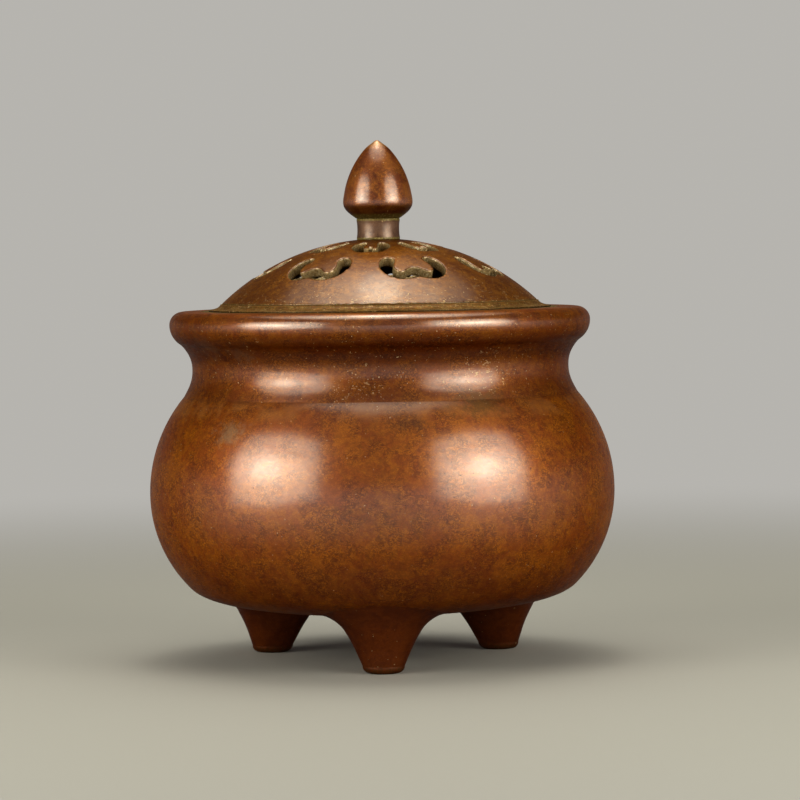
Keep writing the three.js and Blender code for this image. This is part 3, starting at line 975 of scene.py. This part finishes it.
def bowl_material():
    patina = Patina("bowl_patina", tone(151, 72, 4), tone(178, 98, 6), coat=0.43,
                    edge=(0.14, 0.6, 0.1))
    tree, height, reach = patina.tree, patina.height, patina.reach

    # Painted shade: darker under the belly, above the crease and in the hollow of the neck, where
    # less light falls
    patina.paint_shade(fade(tree, height, 16.0, 34.0, 1, 0), tone(206, 196, 190))
    patina.paint_shade(fade(tree, height, 61.5, 64.0), tone(222, 222, 245))
    patina.paint_shade(band(tree, height, 74.2, 1.2, 4.0), tone(192, 182, 180))

    # Duller on the neck and under the lip, glossy round the lip, duller again on its flat top
    patina.shine(band(tree, height, 76.4, 1.6, 2.2), -0.5)
    patina.shine(band(tree, height, 68.5, 3.0, 2.5), -0.26)
    patina.shine(fade(tree, height, 78.2, 79.6), 0.25)
    outer = fade(tree, reach, 46.0, 47.2)
    patina.shine(times(tree, fade(tree, height, 81.2, 82.2), outer), 0.9)
    flat = times(tree, fade(tree, height, 82.2, 82.6), fade(tree, reach, 45.8, 47.4, 1, 0))
    patina.shine(flat, -0.45)

    # Painted sheen: a broken paler band on the shoulder, where light from above is caught
    shoulder = band(tree, height, SHOULDER_HEIGHT - 2.0, 0.6, 2.4)
    broken = fade(tree, noise(tree, patina.place, 0.12, 3.0, 0.6), 0.4, 0.6)
    patina.lay(times(tree, shoulder, broken), tone(186, 122, 62), 0.34)
    # Patches, each at a point, with its size and flatness
    for centre, radius, flatness, hue, amount in (
        ((-34, -38, 56), 5.0, 1.6, tone(150, 118, 88), 0.6),
        ((23, -41, 62), 8.0, 2.2, tone(84, 66, 22), 0.5),
        ((7.7, -49.3, 58), 4.0, 2.0, tone(66, 38, 16), 0.6),
        ((-30, -33, 74), 5.0, 1.6, tone(110, 76, 54), 0.4),
        ((-41, -27, 73), 5.0, 0.7, tone(104, 70, 46), 0.5),
    ):
        patina.lay(patina.spot(centre, radius, flatness), hue, amount)

    # Painted shade: a faint dark line in the crease. Dust about the neck, grime on the lid's seat
    # and inside
    crease = band(tree, height, SHOULDER_HEIGHT + 0.05, 0.1, 0.35)
    faint = fade(tree, noise(tree, patina.place, 0.09, 3.0, 0.6), 0.4, 0.6, 0.25, 1)
    patina.lay(times(tree, crease, faint), tone(70, 32, 12), 0.15)
    neck_dust = times(tree, patina.spot((-4.6, -44.5, 66.5), 6.0, 1.0), 0.75)
    right_dust = times(tree, patina.spot((24, -38, 68), 9.0, 1.6), 0.6)
    upper_dust = times(tree, fade(tree, height, 62.0, 66.0), 0.07)
    patina.dust_where = larger(tree, neck_dust, right_dust, upper_dust)
    rim_top = fade(tree, height, RIM_HEIGHT - 0.5, RIM_HEIGHT - 0.05)
    seat = times(tree, rim_top, fade(tree, reach, 41.2, 43.2, 1, 0))
    inside = times(tree, fade(tree, reach, 36.5, 37.6, 1, 0), fade(tree, height, 14, 15.4))
    patina.grime(larger(tree, seat, inside), tone(92, 74, 38), tone(150, 128, 84))
    return patina.finish()


def foot_material():
    # The feet's patina is darker than the bowl's: partly their own tone, partly painted shade from
    # below
    patina = Patina("foot_patina_and_shade", tone(90, 37, 7), tone(114, 52, 10), threads=0.6, coat=0.2)
    low = fade(patina.tree, patina.height, 0.2, 3.5, 0.55, 0)
    patina.grime(low, tone(70, 48, 22))
    return patina.finish()


def dome_material():
    patina = Patina("dome_patina", tone(114, 62, 8), tone(148, 90, 14), coat=0.38, gloss=0.22)
    tree = patina.tree
    centre = (0.0, 0.0, DOME_CENTRE + RIM_HEIGHT)
    depth = vectors(tree, "DISTANCE", patina.place, centre, output="Value")
    base = fade(tree, patina.height, RIM_HEIGHT + 1.5, RIM_HEIGHT + 2.4, 0.7, 0)
    patina.grime(base, tone(104, 84, 40), tone(168, 148, 96))

    # The sawn walls of the clouds are pale with ash, and the face inside the lid is sooty
    sawn = fade(tree, depth, DOME_SPHERE - 0.3, DOME_SPHERE - 0.08, 1, 0)
    patina.lay(sawn, tone(212, 184, 132), 0.94)
    patina.grime(times(tree, sawn, 0.48), tone(108, 80, 44), tone(240, 224, 186))
    under = fade(tree, depth, DOME_SPHERE - 2.4, DOME_SPHERE - 2.15, 1, 0)
    patina.lay(under, tone(96, 74, 42), 0.85)
    patina.dust_where = fade(tree, patina.height, 89, 84.5, 0.1, 0.26)
    return patina.finish()


def bud_material():
    patina = Patina("bud_patina", tone(134, 62, 10), tone(172, 98, 22), patch=0.22, coat=0.45)
    tree, height = patina.tree, patina.height
    foot = RIM_HEIGHT + COLLAR_SEAT + COLLAR_HEIGHT
    # Painted shade under the bud's widest part
    patina.paint_shade(fade(tree, height, foot + 2.7, foot + 3.7, 1, 0), tone(172, 180, 190))
    tip = fade(tree, height, foot + BUD_HEIGHT - 2.2, foot + BUD_HEIGHT - 0.5)
    patina.lay(tip, tone(196, 148, 104), 0.7)
    olive = fade(tree, height, foot + 0.3, foot + 1.8, 0.95, 0)
    patina.grime(olive, tone(92, 74, 34), tone(140, 120, 66))
    return patina.finish()


def seat_material():
    patina = Patina("seat_patina", tone(120, 72, 26), tone(156, 104, 40), patch=0.5, threads=0.9,
                    coat=0.1, gloss=0.35)
    tree, height = patina.tree, patina.height
    everywhere = fade(tree, patina.reach, 30.0, 45.0, 0.3, 0.5)
    patina.grime(everywhere, tone(84, 66, 26), tone(196, 172, 108))
    # Painted shadow in the gap where the lid's flange sits on the rim
    joint_shadow = band(tree, height, RIM_HEIGHT, 0.1, 0.3)
    patina.lay(joint_shadow, tone(40, 26, 10), 0.8)
    rubbed = fade(tree, height, RIM_HEIGHT + FLANGE_HEIGHT - 0.45, RIM_HEIGHT + FLANGE_HEIGHT)
    patina.lay(rubbed, tone(150, 108, 54), 0.35)
    patina.dust_where = 0.25
    return patina.finish()


def collar_material():
    patina = Patina("collar_patina", tone(96, 64, 42), tone(124, 88, 60), patch=0.6, threads=0.5,
                    coat=0.22, gloss=0.3)
    tree, height = patina.tree, patina.height
    foot = RIM_HEIGHT + COLLAR_SEAT
    ends = larger(
        tree, fade(tree, height, foot + 0.2, foot + 0.9, 0.9, 0),
        fade(tree, height, foot + COLLAR_HEIGHT - 0.9, foot + COLLAR_HEIGHT - 0.2, 0, 0.9),
    )
    patina.grime(ends, tone(116, 98, 50), tone(168, 150, 96))
    return patina.finish()


def fixing_material():
    patina = Patina("fixing_brass", tone(128, 92, 44), tone(168, 128, 64), patch=0.8, threads=0.3,
                    metallic=0.8, rough=0.42, coat=0.1)
    tarnish = fade(patina.tree, patina.height, 93.0, 99.0, 0.35, 0.6)
    patina.grime(tarnish, tone(92, 76, 40), tone(140, 120, 70))
    return patina.finish()


# ---------------- stage

# Radiance of the backdrop, of what hangs over it, and of what lights the burner all round
PALE = 0.47
CEILING = 0.1
AMBIENT = 0.1
HAZE_BOTTOM, HAZE_TOP = 0.066, 0.24
STUDIO_WHITE = (1, 0.972, 0.91, 1)
LAMP_WHITE = (1, 0.965, 0.78)
FLOOR_GREY = (0.4, 0.394, 0.386, 1)

# Camera, in metres and degrees
CAMERA_AWAY = 0.875
CAMERA_HEIGHT = 0.1002
CAMERA_SWING = 0.6
CAMERA_AIM = 0.295
CAMERA_DIP = 2.56
CAMERA_ROLL = 0.9
CAMERA_LENS = 166.3


def seen_directly(tree):
    """1 for rays from the camera, from gloss and through glass, and 0 for the rest."""
    path = add(tree, "ShaderNodeLightPath")
    seen = maths(tree, "MAXIMUM", path.outputs["Is Camera Ray"], path.outputs["Is Glossy Ray"])
    return maths(tree, "MAXIMUM", seen, path.outputs["Is Transmission Ray"])


def make_world():
    """A pale backdrop under a dimmer ceiling."""
    world = bpy.data.worlds.new("studio")
    bpy.context.scene.world = world
    world.use_nodes = True
    tree = world.node_tree
    given = add(tree, "ShaderNodeTexCoord")
    up = add(tree, "ShaderNodeSeparateXYZ", {"Vector": given.outputs["Generated"]}).outputs["Z"]
    shown = fade(tree, up, HAZE_BOTTOM, HAZE_TOP, PALE - AMBIENT, CEILING - AMBIENT)
    glow = maths(tree, "MULTIPLY_ADD", seen_directly(tree), shown, AMBIENT)
    backdrop = tree.nodes["Background"]
    backdrop.inputs["Color"].default_value = STUDIO_WHITE
    tree.links.new(glow, backdrop.inputs["Strength"])


def make_floor():
    """A plain floor that takes the burner's shadow, and farther off is as pale as the backdrop."""
    start_fresh()
    bpy.ops.mesh.primitive_circle_add(
        vertices=96, radius=3.0, fill_type="NGON", location=(0, 0, 0)
    )
    floor = bpy.context.object
    floor.name = "studio_floor"
    material, tree, shader = fresh_material("studio_floor")
    given = add(tree, "ShaderNodeTexCoord")
    reach = vectors(tree, "LENGTH", given.outputs["Object"], output="Value")
    shader.inputs["Base Color"].default_value = FLOOR_GREY
    shader.inputs["Roughness"].default_value = 0.7
    shader.inputs["Specular IOR Level"].default_value = 0.2
    glow = add(tree, "ShaderNodeEmission", {"Color": STUDIO_WHITE, "Strength": PALE})
    far = times(tree, fade(tree, reach, 0.15, 0.6), seen_directly(tree))
    mixed = add(
        tree, "ShaderNodeMixShader",
        {0: far, 1: shader.outputs["BSDF"], 2: glow.outputs["Emission"]},
    )
    tree.links.new(mixed.outputs[0], tree.nodes["Material Output"].inputs["Surface"])
    floor.data.materials.append(material)


def towards(azimuth, elevation):
    """A direction from the burner, its azimuth taken from the front to the right."""
    turn, lift = math.radians(azimuth), math.radians(elevation)
    level = Vector((math.sin(turn), -math.cos(turn), 0)) * math.cos(lift)
    return level + Vector((0, 0, math.sin(lift)))


def softbox(name, place, shines, width, depth, radiance, shape="ELLIPSE", lean=0):
    """A soft lamp of one radiance all over, hung at a place, shining one way, leaning aside."""
    bpy.ops.object.light_add(type="AREA", location=place)
    lamp = bpy.context.object
    lamp.name = name
    lamp.data.shape = shape
    lamp.data.size = width
    lamp.data.size_y = depth
    area = width * depth * (1 if shape == "RECTANGLE" else math.pi / 4)
    lamp.data.energy = radiance * math.pi * area
    lamp.data.color = LAMP_WHITE
    lean = Matrix.Rotation(math.radians(lean), 3, "Z")
    lamp.rotation_euler = (shines.to_track_quat("-Z", "Y").to_matrix() @ lean).to_euler()
    lamp.visible_camera = False


def make_lamps():
    """An upright softbox on either side in front and a round one overhead, brighter inside."""
    burner = Vector((0, 0, 0.048))
    for side, azimuth, core, lean in (("left", -54.4, -57.4, 7), ("right", 50.6, 51.6, -7)):
        away = towards(azimuth, 0)
        middle = away * 0.5 + Vector((0, 0, 0.255))
        softbox(f"{side}_panel", middle, -away, 0.42, 0.46, 1.5, "RECTANGLE", lean)
        softbox(f"{side}_panel_middle", middle - away * 0.004, -away, 0.47, 0.5, 1.2, lean=lean)
        away = towards(core, 18)
        softbox(f"{side}_glow", burner + away * 0.49, -away, 0.34, 0.2, 1.7)
        softbox(f"{side}_glow_core", burner + away * 0.48, -away, 0.14, 0.11, 4.2)
    for name, elevation, distance, width, depth, radiance in (
        ("top_softbox", 79, 0.8, 0.92, 1.1, 1.25),
        ("top_glow", 81, 0.79, 0.6, 0.58, 1.35),
        ("top_glow_core", 80, 0.78, 0.19, 0.34, 4.6),
    ):
        away = towards(180, elevation)
        softbox(name, away * distance + Vector((0, 0, 0.055)), -away, width, depth, radiance)


def make_camera():
    """Stands a little to the right of the front, and is rolled a little about its sight line."""
    swing = math.radians(CAMERA_SWING)
    across, back = CAMERA_AWAY * math.sin(swing), CAMERA_AWAY * math.cos(swing)
    start_fresh()
    bpy.ops.object.camera_add(location=(across, -back, CAMERA_HEIGHT))
    camera = bpy.context.object
    pan = Matrix.Rotation(math.radians(CAMERA_SWING - CAMERA_AIM), 3, "Z")
    tilt = Matrix.Rotation(math.radians(90 - CAMERA_DIP), 3, "X")
    roll = Matrix.Rotation(math.radians(-CAMERA_ROLL), 3, "Z")
    camera.rotation_euler = (pan @ tilt @ roll).to_euler()
    camera.data.sensor_width = 36
    camera.data.lens = CAMERA_LENS
    bpy.context.scene.camera = camera


make_camera()
GROUPS.update({
    "bronze_mottle": mottle_group(), "ash_dust": dust_group(), "cast_skin": skin_group(),
    "verdigris_grime": grime_group(), "soft_spot": spot_group(),
})
make_bowl().data.materials.append(bowl_material())
foot_patina_and_shade = foot_material()
for foot_piece in make_feet():
    foot_piece.data.materials.clear()
    foot_piece.data.materials.append(foot_patina_and_shade)
make_seat_ring().data.materials.append(seat_material())
make_dome().data.materials.append(dome_material())
make_collar().data.materials.append(collar_material())
make_bud().data.materials.append(bud_material())
fixing_brass = fixing_material()
for node in ("finial_stud", "finial_washer", "finial_nut"):
    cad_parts[node].data.materials.clear()
    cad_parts[node].data.materials.append(fixing_brass)
make_floor()
make_lamps()
make_world()
bpy.context.scene.view_settings.view_transform = "Standard"
